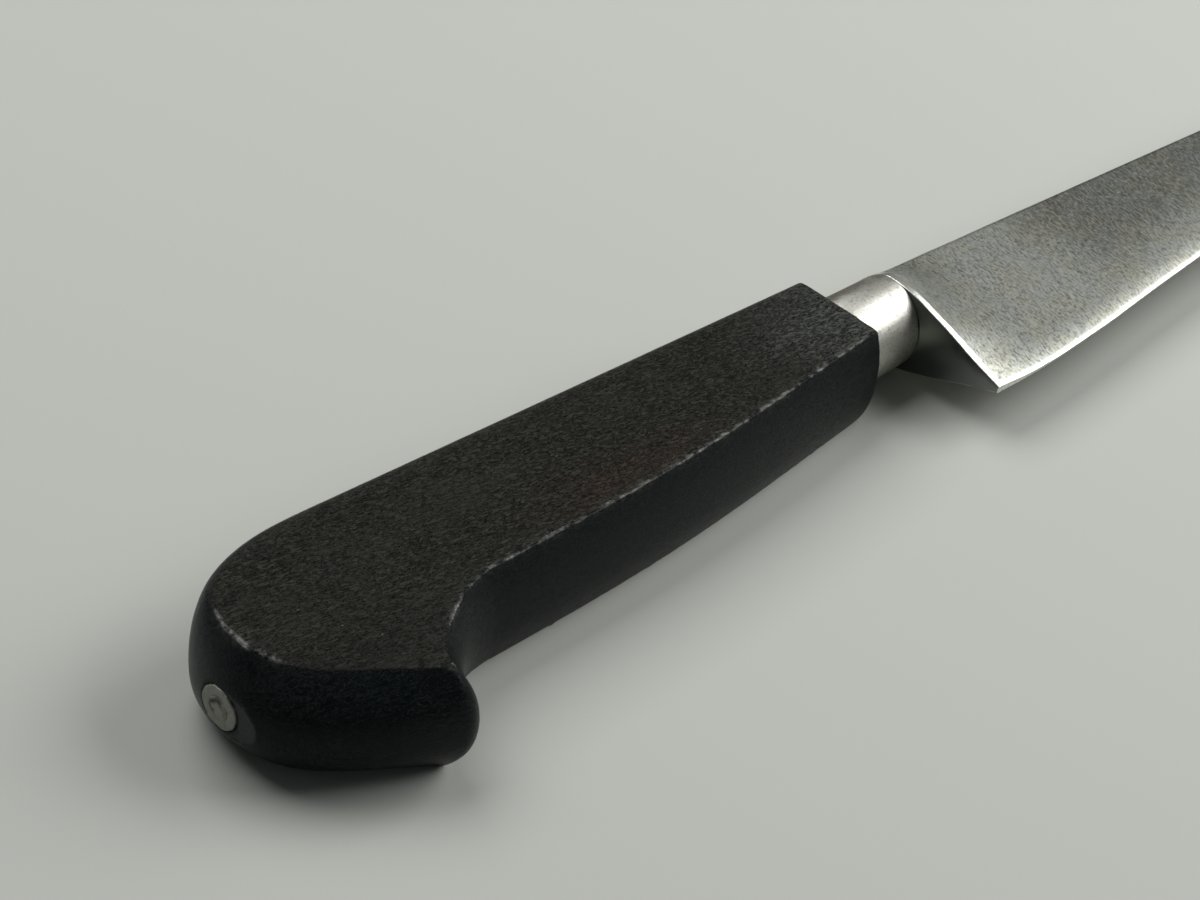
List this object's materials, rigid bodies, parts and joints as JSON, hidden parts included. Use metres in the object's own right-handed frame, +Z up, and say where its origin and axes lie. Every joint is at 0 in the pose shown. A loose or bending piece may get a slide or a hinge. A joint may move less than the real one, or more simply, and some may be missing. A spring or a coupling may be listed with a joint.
{
  "type": "carving knife",
  "caption": "Forged carving knife with a long tapering blade, a wedge-shaped heel, an oval ferrule and a flat-sided wooden handle that hooks down at the butt.",
  "frame": {"origin": "on the resting flat of the handle, half-way along that flat, under the line on which the tang leaves the ferrule", "axes": "+X along the knife towards the blade's tip, +Y from the cutting edge towards the spine, +Z up, out of the flat that lies uppermost"},
  "size_m": [0.3819, 0.0398, 0.0163],
  "materials": {
    "forged_steel": "grey carbon steel with a fine pitted patina and a bright band along the edge",
    "white_metal": "satin nickel silver, silver-coloured and a little warm",
    "dark_hardwood": "almost black oiled hardwood with fine open pores and worn edges",
    "burr_steel": "filed steel, dull",
    "cement": "brown resin cement, hidden"
  },
  "bodies": {
    "root": {"blade": "forged_steel", "ferrule": "white_metal", "handle": "dark_hardwood", "butt_burr": "burr_steel", "tang_cement": "cement"}
  },
  "joints": []
}
